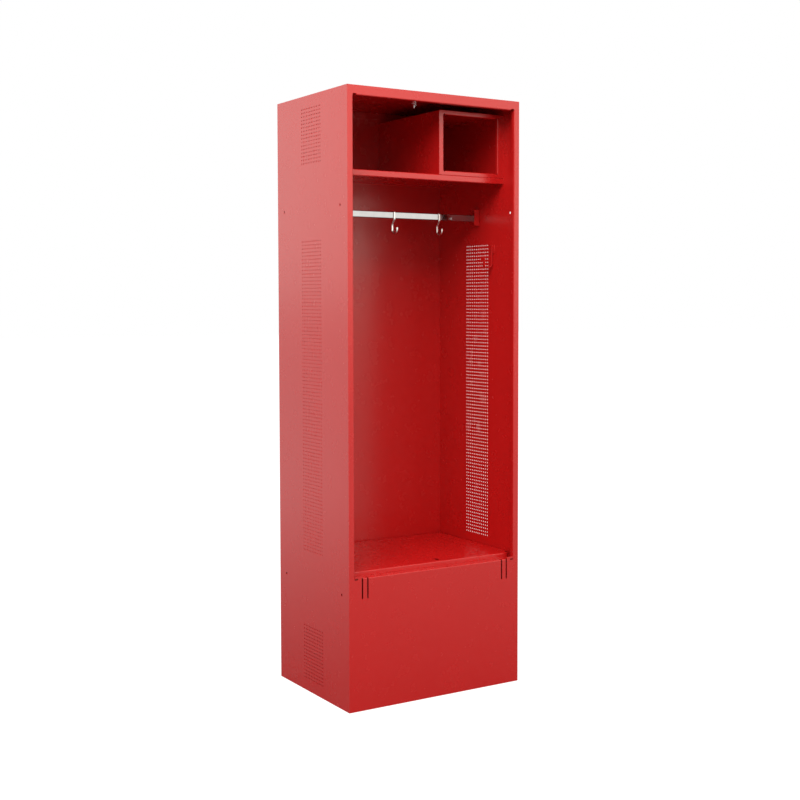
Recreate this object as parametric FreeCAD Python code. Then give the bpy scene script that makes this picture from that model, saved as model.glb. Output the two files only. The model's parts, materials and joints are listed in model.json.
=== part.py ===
import FreeCAD, Part
import math
import os

# Open-front gear locker with a hinged bench seat over a foot locker.
# Millimetres, +Z up, origin at the middle of the base, front facing -Y.

V = FreeCAD.Vector

# Overall size
WIDTH = 609.6
DEPTH = 457.2
HEIGHT = 1828.8

# Sheet metal
FRAME_SHEET = 1.5
BODY_SHEET = 1.5
BEND = 3.2

# Front frame
JAMB = 19.05
HEADER = 28.6
FOOT_FRONT = 396.0
RETURN_DEPTH = 14.0
RELIEF = 11.0
RELIEF_HEIGHT = 4.4
TAB_RISE = 6.0
TAB_CORNER = 4.0
TAB_GAP = 0.8
SEAT_FLANGE = 38.0
SEAT_FLANGE_DROP = 14.0
SLOT_WIDTH = 4.4
SLOT_FOOT = 333.7
SLOT_REACH = 17.0
OUTER_SLOT_INSET = 45.0
INNER_SLOT_INSET = 63.3
CATCH_HOLE = 9.0
CATCH_HOLE_X = 41.0
CATCH_HOLE_SETBACK = 9.0

# Vent holes and ganging holes in the sides
VENT_HOLE = 4.5
VENT_PITCH = 10.9
VENT_SPREAD = 122.0
FOOT_VENT_LOW = 39.9
FOOT_VENT_HIGH = 204.0
MAIN_VENT_RISE = 30.9
MAIN_VENT_GAP = 65.0
SHELF_VENT_RISE = 27.8
SHELF_VENT_GAP = 10.0
GANG_HOLE = 8.0
GANG_INSET = 45.2
GANG_LOW = 342.9
GANG_TOP_INSET = 341.3

# Top and bottom pans
PAN_FLANGE = 20.0
PAN_BEND = 2.4
FLOOR_HEIGHT = 25.0
FOOT_RETURN = 16.0

# Upper shelf
SHELF_DROP = 230.8
SHELF_SETBACK = 82.0
SHELF_LIP = 19.05
SHELF_HEM = 10.0
SHELF_FLANGE = 15.0

# Security box
BOX_WIDTH = 241.9
BOX_HEIGHT = 197.0
BOX_STILE = 16.5
BOX_RIGHT_STILE = 23.0
BOX_RAIL = 12.7
BOX_RETURN = 12.0
BOX_RELIEF = 5.0
BOX_FLANGE = 14.0

# Hanger rod and its brackets
ROD_HEIGHT = 20.0
ROD_DEPTH = 25.4
ROD_WALL = 1.5
ROD_CORNER = 2.0
ROD_BELOW_SHELF = 120.5
ROD_END_GAP = 0.6
BRACKET_SHEET = 2.0
BRACKET_REACH = 21.0
BRACKET_HEIGHT = 51.0
BRACKET_BELOW_ROD = 22.5
BRACKET_GAP = 0.3

# Sliding hooks
HOOK_STRIP = 2.0
HOOK_WIDTH = 7.0
HOOK_GAP = 0.4
HOOK_BACK_LEG = 16.0
HOOK_NECK_DROP = 18.0
HOOK_NECK_BEND = 6.0
HOOK_SHANK_BEND = 14.0
HOOK_DROP = 48.0
HOOK_BOWL = 31.0
HOOK_TIP = 20.0
LEFT_HOOK_X = -20.3
RIGHT_HOOK_X = 147.0

# Wall hooks
WALL_PLATE_WIDTH = 27.0
WALL_PLATE_HEIGHT = 28.0
WALL_PLATE_SHEET = 2.5
WALL_HOOK_SETBACK = 141.0
WALL_HOOK_BELOW_ROD = 88.0
WALL_STRIP = 3.0
WALL_STRIP_WIDTH = 8.0
WALL_HOOK_DROP = 74.0
WALL_HOOK_REACH = 32.0
WALL_TIP_RISE = 31.5
WALL_TIP_LEAN = 5.5
WALL_TIP_WIDTH = 25.0
WALL_TIP_HEIGHT = 10.0

# Bench seat
LID_TOP = 410.0
LID_SETBACK = 30.0
LID_SIDE_GAP = 2.6
LID_JAMB_GAP = 1.75
LID_NOTCH_DEPTH = 19.0
LID_REST_GAP = 0.3
LIFT_HOLE_WIDTH = 13.0
LIFT_HOLE_LENGTH = 24.0
LIFT_HOLE_X = 37.0
LIFT_HOLE_SETBACK = 32.0
STIFFENER_WIDTH = 40.0
STIFFENER_FLANGE = 15.0
STIFFENER_DEPTH = 10.5
STIFFENER_END_GAP = 30.0
LEDGE_WIDTH = 22.0
LEDGE_FRONT = 45.0
LEDGE_BACK_GAP = 25.0

# Seat hinge
HINGE_BARREL = 7.0
HINGE_PIN = 3.0
PIN_FIT = 0.05
LEAF_SHEET = 1.2
LEAF_WIDTH = 28.0
KNUCKLES = 11
KNUCKLE_GAP = 0.6
HINGE_END_GAP = 14.0
RAIL_SHEET = 2.7
RAIL_HEIGHT = 34.0

# Stud, washer and nut under the top
STUD = 8.0
STUD_LENGTH = 15.0
STUD_X = 45.6
STUD_SETBACK = 203.7
WASHER = 16.0
WASHER_SHEET = 1.6
NUT_FLATS = 13.0
NUT_HEIGHT = 6.5
THREAD_GAP = 0.05

# Places worked out from the sizes above
HALF_WIDTH = WIDTH / 2
FRONT = -DEPTH / 2
BACK = DEPTH / 2
WALL = HALF_WIDTH - BODY_SHEET
BEHIND_FRAME = FRONT + FRAME_SHEET
BACK_FACE = BACK - BODY_SHEET
OPENING_HALF = HALF_WIDTH - JAMB
OPENING_TOP = HEIGHT - HEADER
GANG_HIGH = HEIGHT - GANG_TOP_INSET
SHELF_TOP = HEIGHT - SHELF_DROP
SHELF_FRONT = FRONT + SHELF_SETBACK
BOX_LEFT = WALL - BOX_WIDTH
BOX_TOP = SHELF_TOP + BOX_HEIGHT
ROD_CENTRE_Z = SHELF_TOP - ROD_BELOW_SHELF
ROD_LOW = ROD_CENTRE_Z - ROD_HEIGHT / 2
ROD_HIGH = ROD_CENTRE_Z + ROD_HEIGHT / 2
BRACKET_LOW = ROD_CENTRE_Z - BRACKET_BELOW_ROD
WALL_HOOK_TOP = ROD_CENTRE_Z - WALL_HOOK_BELOW_ROD
LID_UNDER = LID_TOP - FRAME_SHEET
LID_FOOT = FOOT_FRONT + LID_REST_GAP
LID_FRONT = FRONT + LID_SETBACK
LID_HALF = WALL - LID_SIDE_GAP
BARREL_R = HINGE_BARREL / 2
HINGE_Z = LID_UNDER - BARREL_R
HINGE_Y = BACK_FACE - RAIL_SHEET - BARREL_R
LID_BACK = HINGE_Y - BARREL_R - KNUCKLE_GAP
HINGE_HALF = LID_HALF - HINGE_END_GAP
KNUCKLE_PITCH = 2 * HINGE_HALF / KNUCKLES
CEILING = HEIGHT - BODY_SHEET


def box(x0, x1, y0, y1, z0, z1):
    return Part.makeBox(x1 - x0, y1 - y0, z1 - z0, V(x0, y0, z0))


def fuse(solids):
    joined = solids[0].multiFuse(solids[1:]).removeSplitter()
    return joined.Solids[0] if len(joined.Solids) == 1 else joined


def mirrored(shape):
    return shape.mirror(V(0, 0, 0), V(1, 0, 0))


# Bent sheet: a strip of even thickness along a path with rounded corners
def unit(a, b):
    length = math.hypot(b[0] - a[0], b[1] - a[1])
    return ((b[0] - a[0]) / length, (b[1] - a[1]) / length)


def shifted_edges(points, bends, shift):
    """Lines and arcs of the path, moved to its left by shift."""
    pieces = []
    last = None
    count = len(points)
    for i in range(count):
        before = unit(points[i - 1], points[i]) if i > 0 else unit(points[0], points[1])
        after = unit(points[i], points[i + 1]) if i < count - 1 else before
        left_before = (-before[1], before[0])
        left_after = (-after[1], after[0])
        turn = before[0] * after[1] - before[1] * after[0]
        if i in (0, count - 1):
            here = tuple(points[i][k] + left_before[k] * shift for k in (0, 1))
            if last is not None:
                pieces.append((last, here))
            last = here
            continue
        side = 1 if turn > 0 else -1
        radius = bends[i - 1]
        cosine = before[0] * after[0] + before[1] * after[1]
        reach = radius * math.tan(math.acos(cosine) / 2)
        start = tuple(points[i][k] - before[k] * reach for k in (0, 1))
        end = tuple(points[i][k] + after[k] * reach for k in (0, 1))
        centre = tuple(start[k] + left_before[k] * side * radius for k in (0, 1))
        outward = unit(centre, points[i])
        arc_radius = radius - side * shift
        first = tuple(start[k] + left_before[k] * shift for k in (0, 1))
        middle = tuple(centre[k] + outward[k] * arc_radius for k in (0, 1))
        final = tuple(end[k] + left_after[k] * shift for k in (0, 1))
        pieces.append((last, first))
        pieces.append((first, middle, final))
        last = final
    return pieces


def strip(points, bends, thickness, place, along):
    """Solid strip: path on one face, thickness to its left, drawn out by the vector along."""
    if not isinstance(bends, (list, tuple)):
        bends = [bends] * (len(points) - 2)
    near = shifted_edges(points, bends, 0)
    far = [tuple(reversed(piece)) for piece in reversed(shifted_edges(points, bends, thickness))]
    outline = near + [(near[-1][-1], far[0][0])] + far + [(far[-1][-1], near[0][0])]
    edges = []
    for piece in outline:
        ends = [place(*point) for point in piece]
        if (ends[-1] - ends[0]).Length < 1e-6:
            continue
        edges.append(Part.Arc(*ends).toShape() if len(ends) == 3 else Part.makeLine(*ends))
    return Part.Face(Part.Wire(edges)).extrude(along)


def strip_along_x(points, bends, thickness, x0, x1):
    """Path in Y and Z."""
    return strip(points, bends, thickness, lambda y, z: V(x0, y, z), V(x1 - x0, 0, 0))


def strip_along_y(points, bends, thickness, y0, y1):
    """Path in X and Z."""
    return strip(points, bends, thickness, lambda x, z: V(x, y0, z), V(0, y1 - y0, 0))


def strip_along_z(points, bends, thickness, z0, z1):
    """Path in X and Y."""
    return strip(points, bends, thickness, lambda x, y: V(x, y, z0), V(0, 0, z1 - z0))


def upright_slot(x, width, y0, y1, z0, z1):
    """Cutter with a round foot, for slots in the front."""
    foot = Part.makeCylinder(width / 2, y1 - y0, V(x, y0, z0 + width / 2), V(0, 1, 0))
    return foot.fuse(box(x - width / 2, x + width / 2, y0, y1, z0 + width / 2, z1))


def pan(edge, flat, foot_return):
    """Sheet between the sides with its edges turned down; foot_return turns the side edges in again."""
    path = [(-WALL, edge), (-WALL, flat), (WALL, flat), (WALL, edge)]
    if foot_return:
        path = [(foot_return - WALL, edge)] + path + [(WALL - foot_return, edge)]
    deck = strip_along_y(path, PAN_BEND, -BODY_SHEET, BEHIND_FRAME, BACK_FACE)
    inner = WALL - PAN_BEND
    flange_top = flat - BODY_SHEET
    front_flange = box(-inner, inner, BEHIND_FRAME, BEHIND_FRAME + BODY_SHEET, edge, flange_top)
    back_flange = box(-inner, inner, BACK_FACE - BODY_SHEET, BACK_FACE, edge, flange_top)
    return fuse([deck, front_flange, back_flange])


def turned_in_frame(outline, opening, front, depth, relief, sill, sill_inset):
    """Face sheet with an opening whose edges turn in by depth; sill is the path of the lower edge."""
    x0, x1, z0, z1 = outline
    left, right, low, high = opening
    face = box(x0, x1, front, front + FRAME_SHEET, z0, z1)
    upright_hole = box(left, right, front, front + FRAME_SHEET, low - BEND, high + BEND)
    level_hole = box(left - BEND, right + BEND, front, front + FRAME_SHEET, low, high)
    left_edge = [(left - BEND, front), (left, front), (left, front + depth)]
    right_edge = [(right + BEND, front), (right, front), (right, front + depth)]
    head = [(front, high + BEND), (front, high), (front + depth, high)]
    return fuse([
        face.cut(upright_hole).cut(level_hole),
        strip_along_z(left_edge, BEND, FRAME_SHEET, low, high),
        strip_along_z(right_edge, BEND, -FRAME_SHEET, low, high),
        strip_along_x(head, BEND, FRAME_SHEET, left + relief, right - relief),
        strip_along_x(sill, BEND, -FRAME_SHEET, left + sill_inset, right - sill_inset),
    ])


def sill_end_tab():
    """Flat end of the sill between the right jamb and the outer slot."""
    x0 = HALF_WIDTH - OUTER_SLOT_INSET + SLOT_WIDTH / 2
    top = FOOT_FRONT + TAB_RISE
    tab = box(x0, OPENING_HALF - TAB_GAP, FRONT, BEHIND_FRAME, FOOT_FRONT - BEND, top)
    inner_top = [edge for edge in tab.Edges
                 if abs(edge.CenterOfMass.x - x0) + abs(edge.CenterOfMass.z - top) < 1e-6]
    return tab.makeFillet(TAB_CORNER, inner_top)


def sill_flange_end():
    """End of the seat flange behind the right tab, up to the jamb."""
    rear = FRONT + SEAT_FLANGE
    path = [(BEHIND_FRAME + TAB_GAP, FOOT_FRONT), (rear, FOOT_FRONT), (rear, FOOT_FRONT - SEAT_FLANGE_DROP)]
    return strip_along_x(path, BEND, -FRAME_SHEET, HALF_WIDTH - OUTER_SLOT_INSET, OPENING_HALF - TAB_GAP)


def corner_reliefs():
    """Cutters for the bend reliefs in the right corners of the opening."""
    x0 = OPENING_HALF - RELIEF
    return [box(x0, OPENING_HALF, FRONT, BEHIND_FRAME, FOOT_FRONT - RELIEF_HEIGHT, FOOT_FRONT),
            box(x0, OPENING_HALF, FRONT, BEHIND_FRAME, OPENING_TOP, OPENING_TOP + RELIEF_HEIGHT)]


def front_frame():
    outline = (-HALF_WIDTH, HALF_WIDTH, 0, HEIGHT)
    opening = (-OPENING_HALF, OPENING_HALF, FOOT_FRONT, OPENING_TOP)
    flange_end = FRONT + SEAT_FLANGE
    sill = [(FRONT, FOOT_FRONT - BEND), (FRONT, FOOT_FRONT), (flange_end, FOOT_FRONT),
            (flange_end, FOOT_FRONT - SEAT_FLANGE_DROP)]
    frame = turned_in_frame(outline, opening, FRONT, RETURN_DEPTH, RELIEF, sill, OUTER_SLOT_INSET - JAMB)
    tab, end = sill_end_tab(), sill_flange_end()
    frame = fuse([frame, tab, mirrored(tab), end, mirrored(end)])
    cutters = corner_reliefs()
    cutters += [mirrored(relief) for relief in cutters]
    for side in (-1, 1):
        for inset in (OUTER_SLOT_INSET, INNER_SLOT_INSET):
            cutters.append(upright_slot(side * (HALF_WIDTH - inset), SLOT_WIDTH,
                                        FRONT, FRONT + SLOT_REACH, SLOT_FOOT, FOOT_FRONT + TAB_RISE))
    cutters.append(Part.makeCylinder(CATCH_HOLE / 2, FRAME_SHEET,
                                     V(CATCH_HOLE_X, FRONT + CATCH_HOLE_SETBACK, FOOT_FRONT - FRAME_SHEET)))
    return frame.cut(Part.makeCompound(cutters)).Solids[0]


def vent_rows(low, high):
    return [low + VENT_PITCH * k for k in range(int((high - low) // VENT_PITCH) + 1)]


def plain_strip(z0, z1):
    """Stretch of the right side sheet without holes."""
    return box(WALL, HALF_WIDTH, BEHIND_FRAME, BACK_FACE, z0, z1)


def vent_strip(z):
    """Stretch of the right side sheet, one pitch high, with a row of vents."""
    y0, y1 = BEHIND_FRAME, BACK_FACE
    z0, z1 = z - VENT_PITCH / 2, z + VENT_PITCH / 2
    corners = [V(WALL, y0, z0), V(WALL, y1, z0), V(WALL, y1, z1), V(WALL, y0, z1), V(WALL, y0, z0)]
    columns = int(VENT_SPREAD // VENT_PITCH) + 1
    first = -VENT_PITCH * (columns - 1) / 2
    spots = [V(WALL, first + VENT_PITCH * k, z) for k in range(columns)]
    sheet = Part.Face(Part.makePolygon(corners))
    sheet.cutHoles([Part.Wire(Part.makeCircle(VENT_HOLE / 2, spot, V(-1, 0, 0))) for spot in spots])
    return sheet.extrude(V(BODY_SHEET, 0, 0))


def side_panel():
    """Right side sheet: a strip for each vent row and plain strips between, joined into one solid."""
    patches = [vent_rows(FOOT_VENT_LOW, FOOT_VENT_HIGH),
               vent_rows(LID_TOP + MAIN_VENT_RISE, BRACKET_LOW - MAIN_VENT_GAP),
               vent_rows(SHELF_TOP + SHELF_VENT_RISE, OPENING_TOP - SHELF_VENT_GAP)]
    strips = []
    reached = 0
    for rows in patches:
        strips.append(plain_strip(reached, rows[0] - VENT_PITCH / 2))
        strips += [vent_strip(z) for z in rows]
        reached = rows[-1] + VENT_PITCH / 2
    strips.append(plain_strip(reached, HEIGHT))
    panel = strips[0].multiFuse(strips[1:])
    gang_holes = [Part.makeCylinder(GANG_HOLE / 2, BODY_SHEET, V(WALL, y, z), V(1, 0, 0))
                  for y in (FRONT + GANG_INSET, BACK - GANG_INSET) for z in (GANG_LOW, GANG_HIGH)]
    return panel.cut(Part.makeCompound(gang_holes)).Solids[0]


def back_panel():
    return box(-HALF_WIDTH, HALF_WIDTH, BACK_FACE, BACK, 0, HEIGHT)


def upper_shelf():
    foot = SHELF_TOP - SHELF_LIP
    path = [(SHELF_FRONT + SHELF_HEM, foot), (SHELF_FRONT, foot), (SHELF_FRONT, SHELF_TOP),
            (BACK_FACE, SHELF_TOP), (BACK_FACE, SHELF_TOP - SHELF_FLANGE)]
    deck = strip_along_x(path, BEND, -FRAME_SHEET, -WALL, WALL)
    y0 = SHELF_FRONT + SHELF_HEM + BEND
    low, high = SHELF_TOP - SHELF_FLANGE, SHELF_TOP - FRAME_SHEET
    left = box(-WALL, -WALL + FRAME_SHEET, y0, BACK_FACE - BEND, low, high)
    return fuse([deck, left, mirrored(left)])


def security_box_frame():
    outline = (BOX_LEFT, WALL, SHELF_TOP, BOX_TOP)
    low = SHELF_TOP + BOX_RAIL
    opening = (BOX_LEFT + BOX_STILE, WALL - BOX_RIGHT_STILE, low, BOX_TOP - BOX_RAIL)
    sill = [(SHELF_FRONT, low - BEND), (SHELF_FRONT, low), (SHELF_FRONT + BOX_RETURN, low)]
    return turned_in_frame(outline, opening, SHELF_FRONT, BOX_RETURN, BOX_RELIEF, sill, BOX_RELIEF)


def security_box_wrap():
    """Both walls and the top in one bent sheet, with foot flanges on the shelf."""
    path = [(BOX_LEFT + BOX_FLANGE, SHELF_TOP), (BOX_LEFT, SHELF_TOP), (BOX_LEFT, BOX_TOP),
            (WALL, BOX_TOP), (WALL, SHELF_TOP), (WALL - BOX_FLANGE, SHELF_TOP)]
    return strip_along_y(path, PAN_BEND, -BODY_SHEET, SHELF_FRONT + FRAME_SHEET, BACK_FACE)


def hanger_rod():
    half = WALL - BRACKET_SHEET - ROD_END_GAP
    outer = box(-half, half, -ROD_DEPTH / 2, ROD_DEPTH / 2, ROD_LOW, ROD_HIGH)
    long_edges = [edge for edge in outer.Edges if abs(edge.Length - 2 * half) < 1e-6]
    outer = outer.makeFillet(ROD_CORNER, long_edges)
    bore = box(-half, half, -ROD_DEPTH / 2 + ROD_WALL, ROD_DEPTH / 2 - ROD_WALL,
               ROD_LOW + ROD_WALL, ROD_HIGH - ROD_WALL)
    return outer.cut(bore).Solids[0]


def rod_bracket():
    """Channel on the right wall with a seat under the rod."""
    half = ROD_DEPTH / 2 + BRACKET_GAP
    path = [(WALL - BRACKET_REACH, -half - BRACKET_SHEET), (WALL, -half - BRACKET_SHEET),
            (WALL, half + BRACKET_SHEET), (WALL - BRACKET_REACH, half + BRACKET_SHEET)]
    channel = strip_along_z(path, BEND, BRACKET_SHEET, BRACKET_LOW, BRACKET_LOW + BRACKET_HEIGHT)
    seat = box(WALL - BRACKET_REACH, WALL - BEND, -half, half, ROD_LOW - BRACKET_SHEET, ROD_LOW)
    return fuse([channel, seat])


def sliding_hook(x):
    """Strip bent round the rod, then down into a forward-facing hook."""
    half = ROD_DEPTH / 2 + HOOK_GAP
    top = ROD_HIGH + HOOK_GAP
    neck = ROD_LOW - HOOK_GAP
    bowl_foot = ROD_LOW - HOOK_DROP
    bowl_r = HOOK_BOWL / 2 - HOOK_STRIP
    tip_y = -HOOK_BOWL
    path = [(half, top - HOOK_BACK_LEG), (half, top), (-half, top), (-half, neck - HOOK_STRIP),
            (0, neck - HOOK_NECK_DROP), (0, bowl_foot), (tip_y, bowl_foot), (tip_y, bowl_foot + HOOK_TIP)]
    bends = [ROD_CORNER, ROD_CORNER, HOOK_NECK_BEND, HOOK_SHANK_BEND, bowl_r, bowl_r]
    return strip_along_x(path, bends, -HOOK_STRIP, x - HOOK_WIDTH / 2, x + HOOK_WIDTH / 2)


def wall_hook():
    """Plate on the right wall with a bent strip hook and a wide tip."""
    y = FRONT + WALL_HOOK_SETBACK
    plate = box(WALL - WALL_PLATE_SHEET, WALL, y - WALL_PLATE_WIDTH / 2, y + WALL_PLATE_WIDTH / 2,
                WALL_HOOK_TOP - WALL_PLATE_HEIGHT, WALL_HOOK_TOP)
    shank = WALL - WALL_PLATE_SHEET
    tip = shank - WALL_HOOK_REACH
    foot = WALL_HOOK_TOP - WALL_HOOK_DROP
    bowl_r = WALL_HOOK_REACH / 2 - WALL_STRIP / 2
    end = (tip - WALL_TIP_LEAN, foot + WALL_TIP_RISE)
    path = [(shank, WALL_HOOK_TOP), (shank, foot), (tip, foot), end]
    prong = strip_along_y(path, bowl_r, -WALL_STRIP, y - WALL_STRIP_WIDTH / 2, y + WALL_STRIP_WIDTH / 2)
    upward = unit((tip, foot), end)
    pad_foot = tuple(end[k] - upward[k] * WALL_TIP_HEIGHT for k in (0, 1))
    pad = strip_along_y([pad_foot, end], [], -WALL_STRIP, y - WALL_TIP_WIDTH / 2, y + WALL_TIP_WIDTH / 2)
    corners = [edge for edge in pad.Edges if abs(edge.Length - WALL_STRIP) < 1e-6]
    return fuse([plate, prong, pad.makeFillet(WALL_STRIP, corners)])


def seat_lid():
    """Front strip between the jambs, full-width deck behind, edges turned down."""
    front_half = OPENING_HALF - LID_JAMB_GAP
    deck_front = LID_FRONT + LID_NOTCH_DEPTH
    nose = [(LID_FRONT, LID_FOOT), (LID_FRONT, LID_TOP), (deck_front, LID_TOP)]
    lip = strip_along_x(nose, BEND, -FRAME_SHEET, -front_half, front_half)
    across = [(-LID_HALF, LID_FOOT), (-LID_HALF, LID_TOP), (LID_HALF, LID_TOP), (LID_HALF, LID_FOOT)]
    deck = strip_along_y(across, BEND, -FRAME_SHEET, deck_front, LID_BACK)
    hole_y = LID_FRONT + LIFT_HOLE_SETBACK
    hole_r = LIFT_HOLE_WIDTH / 2
    half_run = LIFT_HOLE_LENGTH / 2 - hole_r
    cutters = [box(LIFT_HOLE_X - hole_r, LIFT_HOLE_X + hole_r, hole_y - half_run, hole_y + half_run,
                   LID_UNDER, LID_TOP)]
    for y in (hole_y - half_run, hole_y + half_run):
        cutters.append(Part.makeCylinder(hole_r, FRAME_SHEET, V(LIFT_HOLE_X, y, LID_UNDER)))
    return fuse([lip, deck]).cut(fuse(cutters)).Solids[0]


def seat_stiffener():
    """Hat channel under the middle of the lid."""
    half = STIFFENER_WIDTH / 2
    middle = (LID_FRONT + LID_BACK) / 2
    low = LID_UNDER - STIFFENER_DEPTH
    edge = half + STIFFENER_FLANGE
    path = [(middle - edge, LID_UNDER), (middle - half, LID_UNDER), (middle - half, low),
            (middle + half, low), (middle + half, LID_UNDER), (middle + edge, LID_UNDER)]
    inside = PAN_BEND - BODY_SHEET
    bends = [PAN_BEND, inside, inside, PAN_BEND]
    end = LID_HALF - STIFFENER_END_GAP
    return strip_along_x(path, bends, -BODY_SHEET, -end, end)


def seat_side_ledge():
    """Angle on the right wall, level with the front flange."""
    path = [(WALL - LEDGE_WIDTH, FOOT_FRONT), (WALL, FOOT_FRONT), (WALL, FOOT_FRONT - LEDGE_WIDTH)]
    return strip_along_y(path, BEND, -FRAME_SHEET, FRONT + LEDGE_FRONT, BACK_FACE - LEDGE_BACK_GAP)


def seat_hinge_rail():
    """Bar on the back panel, its top level with the foot of the hinge barrel."""
    top = HINGE_Z - BARREL_R
    return box(-HINGE_HALF, HINGE_HALF, BACK_FACE - RAIL_SHEET, BACK_FACE, top - RAIL_HEIGHT, top)


def knuckle_spans(odd):
    first = 1 if odd else 0
    spans = []
    for k in range(first, KNUCKLES, 2):
        start = -HINGE_HALF + KNUCKLE_PITCH * k
        spans.append((start + KNUCKLE_GAP / 2, start + KNUCKLE_PITCH - KNUCKLE_GAP / 2))
    return spans


def hinge_leaf(fixed):
    """Leaf with rolled knuckles: the fixed one hangs down, the moving one lies under the lid."""
    clear = BARREL_R + KNUCKLE_GAP
    if fixed:
        y1 = HINGE_Y + BARREL_R
        solids = [box(-HINGE_HALF, HINGE_HALF, y1 - LEAF_SHEET, y1, HINGE_Z - LEAF_WIDTH, HINGE_Z - clear)]
    else:
        solids = [box(-HINGE_HALF, HINGE_HALF, HINGE_Y - LEAF_WIDTH, HINGE_Y - clear,
                      LID_UNDER - LEAF_SHEET, LID_UNDER)]
    for x0, x1 in knuckle_spans(not fixed):
        if fixed:
            solids.append(box(x0, x1, y1 - LEAF_SHEET, y1, HINGE_Z - clear, HINGE_Z))
        else:
            solids.append(box(x0, x1, HINGE_Y - clear, HINGE_Y, LID_UNDER - LEAF_SHEET, LID_UNDER))
        solids.append(hinge_cylinder(BARREL_R, x0, x1))
    bore = hinge_cylinder(HINGE_PIN / 2 + PIN_FIT, -HINGE_HALF, HINGE_HALF)
    return fuse(solids).cut(bore).Solids[0]


def hinge_cylinder(radius, x0, x1):
    return Part.makeCylinder(radius, x1 - x0, V(x0, HINGE_Y, HINGE_Z), V(1, 0, 0))


def hinge_pin():
    return hinge_cylinder(HINGE_PIN / 2, -HINGE_HALF, HINGE_HALF)


def stud_axis(z):
    return V(STUD_X, FRONT + STUD_SETBACK, z)


def ceiling_stud():
    return Part.makeCylinder(STUD / 2, STUD_LENGTH, stud_axis(CEILING - STUD_LENGTH))


def ceiling_washer():
    low = CEILING - WASHER_SHEET
    disc = Part.makeCylinder(WASHER / 2, WASHER_SHEET, stud_axis(low))
    return disc.cut(Part.makeCylinder(STUD / 2 + THREAD_GAP, WASHER_SHEET, stud_axis(low)))


def ceiling_nut():
    low = CEILING - WASHER_SHEET - NUT_HEIGHT
    centre = stud_axis(low)
    corner = NUT_FLATS / math.sqrt(3)
    turns = [math.radians(60 * k) for k in range(7)]
    ring = [centre + V(corner * math.cos(a), corner * math.sin(a), 0) for a in turns]
    body = Part.Face(Part.makePolygon(ring)).extrude(V(0, 0, NUT_HEIGHT))
    return body.cut(Part.makeCylinder(STUD / 2 + THREAD_GAP, NUT_HEIGHT, centre))


def all_parts():
    right_side = side_panel()
    bracket = rod_bracket()
    hook = wall_hook()
    ledge = seat_side_ledge()
    return {
        "front_frame": front_frame(),
        "left_side_panel": mirrored(right_side),
        "right_side_panel": right_side,
        "back_panel": back_panel(),
        "top_panel": pan(HEIGHT - PAN_FLANGE, HEIGHT, 0),
        "bottom_panel": pan(0, FLOOR_HEIGHT, FOOT_RETURN),
        "upper_shelf": upper_shelf(),
        "security_box_frame": security_box_frame(),
        "security_box_wrap": security_box_wrap(),
        "hanger_rod": hanger_rod(),
        "rod_bracket_left": mirrored(bracket),
        "rod_bracket_right": bracket,
        "sliding_hook_left": sliding_hook(LEFT_HOOK_X),
        "sliding_hook_right": sliding_hook(RIGHT_HOOK_X),
        "wall_hook_left": mirrored(hook),
        "wall_hook_right": hook,
        "seat_lid": seat_lid(),
        "seat_stiffener": seat_stiffener(),
        "seat_side_ledge_left": mirrored(ledge),
        "seat_side_ledge_right": ledge,
        "seat_hinge_rail": seat_hinge_rail(),
        "hinge_fixed_leaf": hinge_leaf(True),
        "hinge_moving_leaf": hinge_leaf(False),
        "hinge_pin": hinge_pin(),
        "ceiling_stud": ceiling_stud(),
        "ceiling_washer": ceiling_washer(),
        "ceiling_nut": ceiling_nut(),
    }


os.makedirs("parts", exist_ok=True)
for name, shape in all_parts().items():
    shape.exportStep(os.path.join("parts", name + ".step"))
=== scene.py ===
import json
import math

import bmesh
import bpy
from mathutils import Matrix, Vector


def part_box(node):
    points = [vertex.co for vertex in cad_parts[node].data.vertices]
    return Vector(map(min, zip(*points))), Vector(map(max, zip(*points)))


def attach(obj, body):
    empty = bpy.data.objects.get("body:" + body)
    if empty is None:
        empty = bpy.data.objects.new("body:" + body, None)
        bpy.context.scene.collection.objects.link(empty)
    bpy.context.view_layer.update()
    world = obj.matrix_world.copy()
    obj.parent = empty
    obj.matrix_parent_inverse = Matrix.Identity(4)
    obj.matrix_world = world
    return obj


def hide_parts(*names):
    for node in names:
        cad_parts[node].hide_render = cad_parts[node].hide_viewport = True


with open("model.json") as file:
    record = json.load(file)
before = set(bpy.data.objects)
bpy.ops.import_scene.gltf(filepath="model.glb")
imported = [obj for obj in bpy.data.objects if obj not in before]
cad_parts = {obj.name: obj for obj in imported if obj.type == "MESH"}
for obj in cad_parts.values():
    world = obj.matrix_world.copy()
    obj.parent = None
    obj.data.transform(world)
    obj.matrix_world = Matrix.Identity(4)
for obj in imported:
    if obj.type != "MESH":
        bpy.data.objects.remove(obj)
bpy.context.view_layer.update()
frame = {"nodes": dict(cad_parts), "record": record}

# Dresses the gear locker: hooks and fixings, paint, plating, studio and the photograph's camera.
# Lengths are in metres, except where a heading says otherwise.

# Photograph's camera: sensor in millimetres, focal length and centre in pixels, angles in degrees
PHOTO_SIZE = 800
SENSOR = 36.0
FOCAL_PIXELS = 1289.0
OPTICAL_CENTRE = (447.0, 372.0)
CAMERA_PLACE = (-2.0967, -3.5038, 1.2043)
CAMERA_YAW = 33.075
CAMERA_PITCH = -3.085
CAMERA_REACH = 100

# Sliding hooks: one bent strip each, wider where it goes over the rod
HOOK_STRIP = 0.002
HOOK_STRAP_HALF = 0.0035
HOOK_SHANK_HALF = 0.003
HOOK_GAP = 0.0004
HOOK_BACK_LEG = 0.016
HOOK_NECK_DROP = 0.018
HOOK_NECK_BEND = 0.006
HOOK_SHANK_BEND = 0.014
HOOK_TIP = 0.020
ROD_CORNER = 0.002

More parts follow.
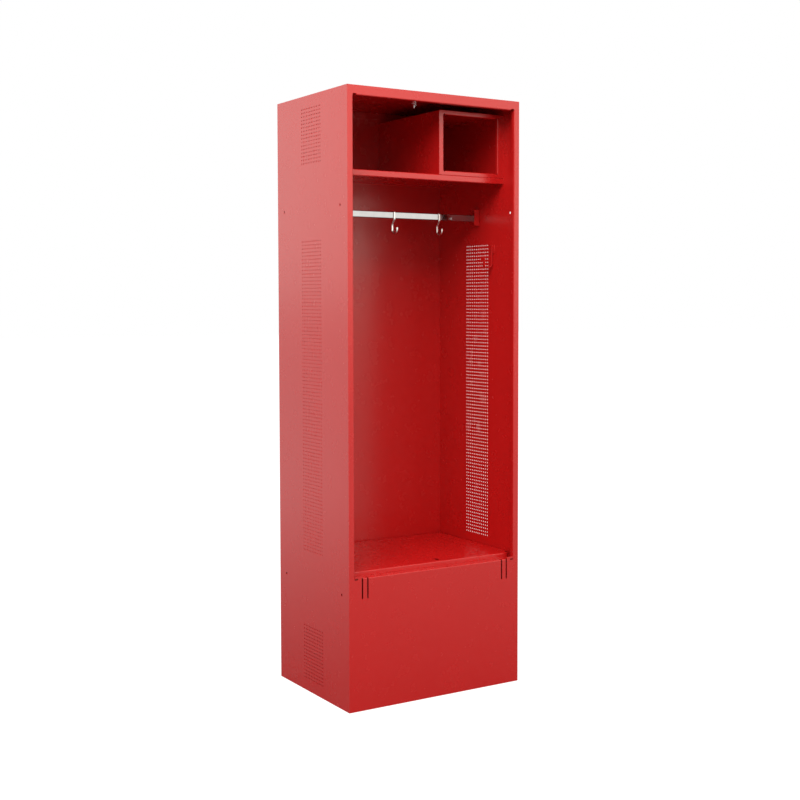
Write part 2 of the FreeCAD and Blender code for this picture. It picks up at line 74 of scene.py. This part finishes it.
# Wall hooks: a plate with a bent strip that widens at its tip
PLATE_SHEET = 0.0025
PLATE_HEIGHT = 0.028
PLATE_CORNER = 0.004
PLATE_CHAMFER = 0.0006
PRONG_STRIP = 0.003
PRONG_HALF = 0.004
PRONG_TIP_HALF = 0.0125
PRONG_TIP_HEIGHT = 0.010
PRONG_TIP_RISE = 0.0315
PRONG_TIP_LEAN = 0.0055
PRONG_TIP_SHOULDER = 0.002
PRONG_TIP_CORNER = 0.003

# Stud, washer and nut under the top
THREAD_PITCH = 0.00125
THREAD_DEPTH = 0.0007
THREAD_GAP = 0.00005
STUD_CHAMFER = 0.001
NUT_CHAMFER = 0.0007
NUT_COUNTERSINK = 0.0005
WASHER_EDGE = 0.0004

# Fineness and edges of the modelled pieces
ARC_STEPS = 14
EDGE_STEPS = 4
TURN_STEPS = 72
RINGS_PER_PITCH = 8
STRIP_EDGE = 0.0009
LARGEST_EDGE_SHARE = 0.95
ROUND_END_TURN = math.radians(80)
SHARP_ANGLE = math.radians(38)

# Colours: linear red, green and blue, and for all but the lamps also cover
PAINT_RED = (0.58, 0.0108, 0.0106, 1.0)
PAINT_RED_DEEP = (0.566, 0.0103, 0.0101, 1.0)
CHROME_TINT = (0.275, 0.275, 0.271, 1.0)
SATIN_TINT = (0.58, 0.54, 0.5, 1.0)
ZINC_TINT = (0.92, 0.92, 0.92, 1.0)
FLOOR_TINT = (0.30, 0.30, 0.30, 1.0)
PAINT_GLOSS_TINT = (1.0, 0.97, 0.9, 1.0)
BACKGROUND_TINT = (1.0, 1.0, 1.0, 1.0)
LAMP_TINT = (1.0, 0.96, 0.91)

# Paint: scale per metre and detail of its blotches, smears and orange peel
BLOTCH_GRAIN = (6.0, 3.0)
SMEAR_GRAIN = (25.0, 4.0)
PEEL_GRAIN = (420.0, 1.0)
PEEL_STRENGTH = 0.015
PEEL_DEPTH = 0.0001
PAINT_ROUGHNESS = (0.25, 0.28)
PAINT_IOR = 1.5

# Plating: lowest and highest roughness, scale per metre and detail of its wear, and the wear's shade
CHROME_ROUGHNESS = (0.07, 0.12)
CHROME_GRAIN = (60.0, 4.0)
SATIN_ROUGHNESS = (0.26, 0.34)
SATIN_GRAIN = (240.0, 4.0)
ZINC_ROUGHNESS = (0.1, 0.18)
ZINC_GRAIN = (180.0, 4.0)
WEAR_SHADE = 0.92

# Part of a grain's value over which a colour changes
RAMP_START = 0.3
RAMP_END = 0.7

# Studio floor: its lift to white, and the distances over which that comes into reflections
FLOOR_HALF = 40.0
FLOOR_LIFT = 0.85
FLOOR_LIFT_NEAR = 0.5
FLOOR_LIFT_FAR = 4.2

# Light levels
SEEN_LIGHT = 1.0
HORIZON_LIGHT = 0.48
ZENITH_LIGHT = 1.08
FRONT_PANEL_GLOW = 1.7
REAR_PANEL_GLOW = 0.92
OVERHEAD_GLOW = 5.6

# Lamps
PANEL_SIZE = (3.6, 2.6)
PANEL_AIM = (0, 0, 1.6)
FRONT_PANEL_PLACE = (2.6, -4.2, 2.4)
REAR_PANEL_PLACE = (-2.9, 4.6, 2.5)
OVERHEAD_SIZE = (2.4, 2.0)
OVERHEAD_AIM = (0, 0, 0.8)
OVERHEAD_PLACE = (-1.7, -1.85, 3.4)


def make_camera():
    data = bpy.data.cameras.new("photo_camera")
    data.sensor_width = SENSOR
    data.lens = FOCAL_PIXELS / PHOTO_SIZE * SENSOR
    data.shift_x = 0.5 - OPTICAL_CENTRE[0] / PHOTO_SIZE
    data.shift_y = OPTICAL_CENTRE[1] / PHOTO_SIZE - 0.5
    data.clip_end = CAMERA_REACH
    camera = bpy.data.objects.new("photo_camera", data)
    camera.location = CAMERA_PLACE
    camera.rotation_euler = (math.radians(90 + CAMERA_PITCH), 0, -math.radians(CAMERA_YAW))
    bpy.context.scene.collection.objects.link(camera)
    bpy.context.scene.camera = camera


# Materials
def new_material(name):
    material = bpy.data.materials.new(name)
    material.use_nodes = True
    nodes = material.node_tree.nodes
    links = material.node_tree.links
    return material, nodes, links, nodes["Principled BSDF"]


def noise(nodes, links, grain):
    """Noise on the object's own coordinates, in metres, of a scale and detail."""
    place = nodes.new("ShaderNodeTexCoord")
    texture = nodes.new("ShaderNodeTexNoise")
    texture.inputs["Scale"].default_value, texture.inputs["Detail"].default_value = grain
    links.new(place.outputs["Object"], texture.inputs["Vector"])
    return texture


def ramp(nodes, links, source, low, high):
    """Maps a texture's value to a colour or a grey between low and high."""
    scale = nodes.new("ShaderNodeValToRGB")
    start, end = scale.color_ramp.elements
    start.position, end.position = RAMP_START, RAMP_END
    start.color, end.color = low, high
    links.new(source.outputs["Fac"], scale.inputs["Fac"])
    return scale.outputs["Color"]


def grey(value):
    return (value, value, value, 1.0)


def bump(nodes, links, source, strength, distance):
    height = nodes.new("ShaderNodeBump")
    height.inputs["Strength"].default_value = strength
    height.inputs["Distance"].default_value = distance
    links.new(source.outputs["Fac"], height.inputs["Height"])
    return height.outputs["Normal"]


def paint_material():
    """Semi-gloss powder coat: slight orange peel and uneven gloss."""
    material, nodes, links, shader = new_material("red_powder_coat")
    blotch = noise(nodes, links, BLOTCH_GRAIN)
    links.new(ramp(nodes, links, blotch, PAINT_RED_DEEP, PAINT_RED), shader.inputs["Base Color"])
    smear = noise(nodes, links, SMEAR_GRAIN)
    low, high = PAINT_ROUGHNESS
    links.new(ramp(nodes, links, smear, grey(low), grey(high)), shader.inputs["Roughness"])
    peel = noise(nodes, links, PEEL_GRAIN)
    links.new(bump(nodes, links, peel, PEEL_STRENGTH, PEEL_DEPTH), shader.inputs["Normal"])
    shader.inputs["IOR"].default_value = PAINT_IOR
    shader.inputs["Specular Tint"].default_value = PAINT_GLOSS_TINT
    return material


def plated_material(name, tint, roughness, grain):
    """Plated metal whose colour and gloss vary a little with wear."""
    material, nodes, links, shader = new_material(name)
    shader.inputs["Metallic"].default_value = 1.0
    wear = noise(nodes, links, grain)
    dark = tuple(WEAR_SHADE * part for part in tint[:3]) + (1.0,)
    links.new(ramp(nodes, links, wear, dark, tint), shader.inputs["Base Color"])
    low, high = roughness
    links.new(ramp(nodes, links, wear, grey(low), grey(high)), shader.inputs["Roughness"])
    return material


def dress(pieces):
    """Gives each CAD node and each new piece the finish of its slot."""
    finishes = {
        "red_paint": paint_material(),
        "bright_chrome": plated_material("bright_chrome", CHROME_TINT, CHROME_ROUGHNESS, CHROME_GRAIN),
        "satin_steel": plated_material("satin_steel", SATIN_TINT, SATIN_ROUGHNESS, SATIN_GRAIN),
        "zinc_steel": plated_material("zinc_steel", ZINC_TINT, ZINC_ROUGHNESS, ZINC_GRAIN),
    }
    for part in frame["record"]["subparts"]:
        node = frame["nodes"][part["node"]]
        node.data.materials.clear()
        node.data.materials.append(finishes[part["material_slot"]])
    for piece, slot in pieces:
        piece.data.materials.append(finishes[slot])


# Bent strip
def bent_path(stations):
    """Points along lines and arcs, each with its left-hand normal and half width.

    A station is a place in the bending plane, the bend there and the half width."""
    places = [Vector(station[:2]) for station in stations]
    runs = [(b - a).normalized() for a, b in zip(places, places[1:])]
    lefts = [Vector((-run.y, run.x)) for run in runs]
    path = [(places[0], lefts[0], stations[0][3])]
    for i in range(1, len(stations) - 1):
        bend, half = stations[i][2:]
        turn = runs[i].angle_signed(runs[i - 1])
        if not bend:
            path.append((places[i], lefts[i], half))
            continue
        side = math.copysign(1, turn)
        start = places[i] - runs[i - 1] * bend * math.tan(abs(turn) / 2)
        centre = start + lefts[i - 1] * side * bend
        for k in range(ARC_STEPS + 1):
            normal = lefts[i - 1].copy()
            normal.rotate(Matrix.Rotation(turn * k / ARC_STEPS, 2))
            path.append((centre - normal * side * bend, normal, half))
    path.append((places[-1], lefts[-1], stations[-1][3]))
    return path


def round_end(start, end, half, radius):
    """Stations from start to a rounded end."""
    run = (Vector(end) - Vector(start)).normalized()
    stations = []
    for k in range(EDGE_STEPS + 1):
        angle = ROUND_END_TURN * k / EDGE_STEPS
        place = Vector(end) - run * radius * (1 - math.sin(angle))
        stations.append((*place, 0, half - radius * (1 - math.cos(angle))))
    return stations


def rounded_rectangle(half_u, half_v, radius):
    """Ring of a rectangle with rounded corners about its middle."""
    ring = []
    for corner, (u, v) in enumerate(((1, 1), (-1, 1), (-1, -1), (1, -1))):
        for k in range(EDGE_STEPS + 1):
            angle = math.pi / 2 * (corner + k / EDGE_STEPS)
            ring.append((u * (half_u - radius) + radius * math.cos(angle),
                         v * (half_v - radius) + radius * math.sin(angle)))
    return ring


def add_rings(mesh, rings, closed):
    """Skins rings of equal length; closed joins the last to the first, otherwise both ends get caps."""
    rows = [[mesh.verts.new(place) for place in ring] for ring in rings]
    count = len(rows[0])
    pairs = list(zip(rows, rows[1:]))
    if closed:
        pairs.append((rows[-1], rows[0]))
    for near, far in pairs:
        for k in range(count):
            mesh.faces.new((near[k], near[(k + 1) % count], far[(k + 1) % count], far[k]))
    if not closed:
        mesh.faces.new(rows[0])
        mesh.faces.new(rows[-1])


def add_strip(mesh, stations, sheet, place):
    """Strip that lies on the right of its path; place turns a plane point and a width into a point."""
    rings = []
    for point, left, half in bent_path(stations):
        middle = point - left * sheet / 2
        edge = min(STRIP_EDGE, LARGEST_EDGE_SHARE * half, LARGEST_EDGE_SHARE * sheet / 2)
        section = rounded_rectangle(sheet / 2, half, edge)
        rings.append([place(middle + left * u, v) for u, v in section])
    add_rings(mesh, rings, False)


def make_piece(name, mesh, node, body):
    """Finished object that stands for a CAD node, with its slot."""
    bmesh.ops.recalc_face_normals(mesh, faces=mesh.faces)
    data = bpy.data.meshes.new(name)
    mesh.to_mesh(data)
    mesh.free()
    data.shade_smooth()
    data.set_sharp_from_angle(angle=SHARP_ANGLE)
    piece = bpy.data.objects.new(name, data)
    bpy.context.scene.collection.objects.link(piece)
    slot = next(part["material_slot"] for part in frame["record"]["subparts"] if part["node"] == node)
    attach(piece, body)
    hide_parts(node)
    return piece, slot


def make_sliding_hook(side):
    node = "sliding_hook_" + side
    low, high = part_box(node)
    rod_low, rod_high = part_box("hanger_rod")
    half_rod = rod_high[1] + HOOK_GAP
    top = rod_high[2] + HOOK_GAP
    neck = rod_low[2] - HOOK_GAP
    foot, tip = low[2], low[1]
    bowl = -tip / 2 - HOOK_STRIP
    middle = (low[0] + high[0]) / 2
    back_end = (half_rod, top - HOOK_BACK_LEG)
    stations = round_end((half_rod, top), back_end, HOOK_STRAP_HALF, HOOK_STRIP)[::-1]
    stations += [
        (half_rod, top, ROD_CORNER, HOOK_STRAP_HALF),
        (-half_rod, top, ROD_CORNER, HOOK_STRAP_HALF),
        (-half_rod, neck - HOOK_STRIP, HOOK_NECK_BEND, HOOK_STRAP_HALF),
        (0, neck - HOOK_NECK_DROP, HOOK_SHANK_BEND, HOOK_SHANK_HALF),
        (0, foot, bowl, HOOK_SHANK_HALF),
        (tip, foot, bowl, HOOK_SHANK_HALF),
    ]
    stations += round_end((tip, foot), (tip, foot + HOOK_TIP), HOOK_SHANK_HALF, HOOK_SHANK_HALF)
    mesh = bmesh.new()
    add_strip(mesh, stations, HOOK_STRIP, lambda point, across: (middle + across, point.x, point.y))
    return make_piece(node + "_strip", mesh, node, side + "_hook")


def make_wall_hook(side, hand):
    """Hook on one wall; hand is 1 on the right and -1 on the left."""
    node = "wall_hook_" + side
    low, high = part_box(node)
    wall = max(abs(low[0]), abs(high[0]))
    end = min(abs(low[0]), abs(high[0]))
    middle = (low[1] + high[1]) / 2
    foot, top = low[2], high[2]
    shank = wall - PLATE_SHEET
    tip = end + PRONG_TIP_LEAN
    bowl = (shank - tip) / 2 - PRONG_STRIP / 2
    tip_end = Vector((end, foot + PRONG_TIP_RISE))
    rise = (tip_end - Vector((tip, foot))).normalized()
    pad = tip_end - rise * PRONG_TIP_HEIGHT
    shoulder = pad - rise * PRONG_TIP_SHOULDER
    stations = round_end((shank, foot), (shank, top), PRONG_HALF, PRONG_STRIP)[::-1]
    stations += [
        (shank, foot, bowl, PRONG_HALF),
        (tip, foot, bowl, PRONG_HALF),
        (*shoulder, 0, PRONG_HALF),
        (*pad, 0, PRONG_TIP_HALF),
    ]
    stations += round_end(pad, tip_end, PRONG_TIP_HALF, PRONG_TIP_CORNER)
    mesh = bmesh.new()
    add_strip(mesh, stations, PRONG_STRIP,
              lambda point, across: (hand * point.x, middle + across, point.y))
    half_width = (high[1] - low[1]) / 2
    centre = top - PLATE_HEIGHT / 2
    rings = []
    for depth, inset in ((0, 0), (PLATE_SHEET - PLATE_CHAMFER, 0), (PLATE_SHEET, PLATE_CHAMFER)):
        outline = rounded_rectangle(half_width - inset, PLATE_HEIGHT / 2 - inset, PLATE_CORNER)
        rings.append([(hand * (wall - depth), middle + across, centre + up) for across, up in outline])
    add_rings(mesh, rings, False)
    return make_piece(node + "_plate_and_prong", mesh, node, "casing")


# Turned and threaded fixings
def add_turned(mesh, axis, rings, closed):
    """Rings round an upright axis; each has a height and a radius that depends on the angle."""
    angles = [2 * math.pi * k / TURN_STEPS for k in range(TURN_STEPS)]
    places = []
    for height, radius in rings:
        places.append([(axis.x + radius(a) * math.cos(a), axis.y + radius(a) * math.sin(a), height)
                       for a in angles])
    add_rings(mesh, places, closed)


def plain(radius):
    """Radius that is the same at every angle."""
    return lambda angle: radius


def thread_radius(height, outer, start):
    """Radius by angle of a screw thread at a height, with a chamfered start."""
    limit = outer - max(0, STUD_CHAMFER - (height - start))

    def radius(angle):
        phase = (height / THREAD_PITCH - angle / (2 * math.pi)) % 1
        return min(limit, outer - THREAD_DEPTH * abs(2 * phase - 1))
    return radius


def fixing_axis():
    """Middle and outer radius of the stud."""
    low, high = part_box("ceiling_stud")
    return Vector(((low[0] + high[0]) / 2, (low[1] + high[1]) / 2)), (high[0] - low[0]) / 2


def make_stud():
    axis, outer = fixing_axis()
    low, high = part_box("ceiling_stud")
    count = round((high[2] - low[2]) / THREAD_PITCH * RINGS_PER_PITCH)
    heights = [low[2] + (high[2] - low[2]) * k / count for k in range(count + 1)]
    mesh = bmesh.new()
    add_turned(mesh, axis, [(z, thread_radius(z, outer, low[2])) for z in heights], False)
    return make_piece("ceiling_stud_threaded", mesh, "ceiling_stud", "casing")


def make_nut():
    """Hexagon with both faces chamfered and the bore countersunk."""
    axis, outer = fixing_axis()
    low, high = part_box("ceiling_nut")
    half_flats = (high[1] - low[1]) / 2
    bore = outer + THREAD_GAP

    def hexagon(limit):
        return lambda angle: min(limit, half_flats / math.cos(angle % (math.pi / 3) - math.pi / 6))

    corner = half_flats / math.cos(math.pi / 6)
    rings = [(low[2], hexagon(half_flats)), (low[2] + NUT_CHAMFER, hexagon(corner)),
             (high[2] - NUT_CHAMFER, hexagon(corner)), (high[2], hexagon(half_flats)),
             (high[2], plain(bore + NUT_COUNTERSINK)), (high[2] - NUT_COUNTERSINK, plain(bore)),
             (low[2] + NUT_COUNTERSINK, plain(bore)), (low[2], plain(bore + NUT_COUNTERSINK))]
    mesh = bmesh.new()
    add_turned(mesh, axis, rings, True)
    return make_piece("ceiling_nut_hexagon", mesh, "ceiling_nut", "casing")


def make_washer():
    axis, outer = fixing_axis()
    low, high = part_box("ceiling_washer")
    rim = (high[0] - low[0]) / 2
    bore = outer + THREAD_GAP
    rings = [(low[2], plain(rim - WASHER_EDGE)), (low[2] + WASHER_EDGE, plain(rim)),
             (high[2] - WASHER_EDGE, plain(rim)), (high[2], plain(rim - WASHER_EDGE)),
             (high[2], plain(bore)), (low[2], plain(bore))]
    mesh = bmesh.new()
    add_turned(mesh, axis, rings, True)
    return make_piece("ceiling_washer_round", mesh, "ceiling_washer", "casing")


def make_pieces():
    pieces = [make_sliding_hook(side) for side in ("left", "right")]
    pieces += [make_wall_hook(side, hand) for side, hand in (("left", -1), ("right", 1))]
    return pieces + [make_stud(), make_nut(), make_washer()]


# Studio
def largest_of(nodes, links, sockets):
    """Largest of several values."""
    total = sockets[0]
    for socket in sockets[1:]:
        larger = nodes.new("ShaderNodeMath")
        larger.operation = "MAXIMUM"
        links.new(total, larger.inputs[0])
        links.new(socket, larger.inputs[1])
        total = larger.outputs[0]
    return total


def floor_material():
    """Floor that keeps the shadow, lifted to white for the camera and, farther off, in reflections."""
    material, nodes, links, shader = new_material("studio_floor")
    nodes.remove(shader)
    matte = nodes.new("ShaderNodeBsdfDiffuse")
    matte.inputs["Color"].default_value = FLOOR_TINT
    lift = nodes.new("ShaderNodeEmission")
    path = nodes.new("ShaderNodeLightPath")
    place = nodes.new("ShaderNodeNewGeometry")
    reach = nodes.new("ShaderNodeVectorMath")
    reach.operation = "LENGTH"
    away = nodes.new("ShaderNodeMapRange")
    away.inputs["From Min"].default_value = FLOOR_LIFT_NEAR
    away.inputs["From Max"].default_value = FLOOR_LIFT_FAR
    mirrored = largest_of(nodes, links, [path.outputs[name] for name in
                                         ("Is Glossy Ray", "Is Transmission Ray")])
    faded = nodes.new("ShaderNodeMath")
    faded.operation = "MULTIPLY"
    share = nodes.new("ShaderNodeMath")
    share.operation = "MULTIPLY"
    share.inputs[1].default_value = FLOOR_LIFT
    total = nodes.new("ShaderNodeAddShader")
    links.new(place.outputs["Position"], reach.inputs[0])
    links.new(reach.outputs["Value"], away.inputs["Value"])
    links.new(mirrored, faded.inputs[0])
    links.new(away.outputs[0], faded.inputs[1])
    looked_at = largest_of(nodes, links, [path.outputs["Is Camera Ray"], faded.outputs[0]])
    links.new(looked_at, share.inputs[0])
    links.new(share.outputs[0], lift.inputs["Strength"])
    links.new(matte.outputs[0], total.inputs[0])
    links.new(lift.outputs[0], total.inputs[1])
    links.new(total.outputs[0], nodes["Material Output"].inputs["Surface"])
    return material


def make_floor():
    corners = [(FLOOR_HALF * x, FLOOR_HALF * y, 0) for x, y in ((-1, -1), (1, -1), (1, 1), (-1, 1))]
    mesh = bpy.data.meshes.new("studio_floor")
    mesh.from_pydata(corners, [], [(0, 1, 2, 3)])
    mesh.materials.append(floor_material())
    floor = bpy.data.objects.new("studio_floor", mesh)
    bpy.context.scene.collection.objects.link(floor)


def make_world():
    """White to the camera and in reflections; as light, brighter overhead than at the horizon."""
    world = bpy.data.worlds.new("studio_world")
    bpy.context.scene.world = world
    world.use_nodes = True
    nodes, links = world.node_tree.nodes, world.node_tree.links
    path = nodes.new("ShaderNodeLightPath")
    seen = largest_of(nodes, links, [path.outputs[name] for name in
                                     ("Is Camera Ray", "Is Glossy Ray", "Is Transmission Ray")])
    direction = nodes.new("ShaderNodeTexCoord")
    upward = nodes.new("ShaderNodeSeparateXYZ")
    links.new(direction.outputs["Generated"], upward.inputs[0])
    light = nodes.new("ShaderNodeMapRange")
    light.inputs["To Min"].default_value = HORIZON_LIGHT
    light.inputs["To Max"].default_value = ZENITH_LIGHT
    links.new(upward.outputs["Z"], light.inputs["Value"])
    level = nodes.new("ShaderNodeMapRange")
    level.inputs["To Max"].default_value = SEEN_LIGHT
    links.new(seen, level.inputs["Value"])
    links.new(light.outputs[0], level.inputs["To Min"])
    links.new(level.outputs[0], nodes["Background"].inputs["Strength"])
    nodes["Background"].inputs["Color"].default_value = BACKGROUND_TINT


def make_softbox(name, place, target, size, glow):
    """Area lamp whose face is as bright as glow."""
    data = bpy.data.lights.new(name, "AREA")
    data.shape = "RECTANGLE"
    data.size, data.size_y = size
    data.energy = glow * math.pi * size[0] * size[1]
    data.color = LAMP_TINT
    lamp = bpy.data.objects.new(name, data)
    lamp.location = place
    lamp.rotation_euler = (Vector(target) - Vector(place)).to_track_quat("-Z", "Y").to_euler()
    bpy.context.scene.collection.objects.link(lamp)


def make_studio():
    bpy.context.scene.view_settings.view_transform = "Standard"
    make_floor()
    make_world()
    make_softbox("right_front_panel", FRONT_PANEL_PLACE, PANEL_AIM, PANEL_SIZE, FRONT_PANEL_GLOW)
    make_softbox("left_rear_panel", REAR_PANEL_PLACE, PANEL_AIM, PANEL_SIZE, REAR_PANEL_GLOW)
    make_softbox("overhead_softbox", OVERHEAD_PLACE, OVERHEAD_AIM, OVERHEAD_SIZE, OVERHEAD_GLOW)


make_camera()
make_studio()
dress(make_pieces())
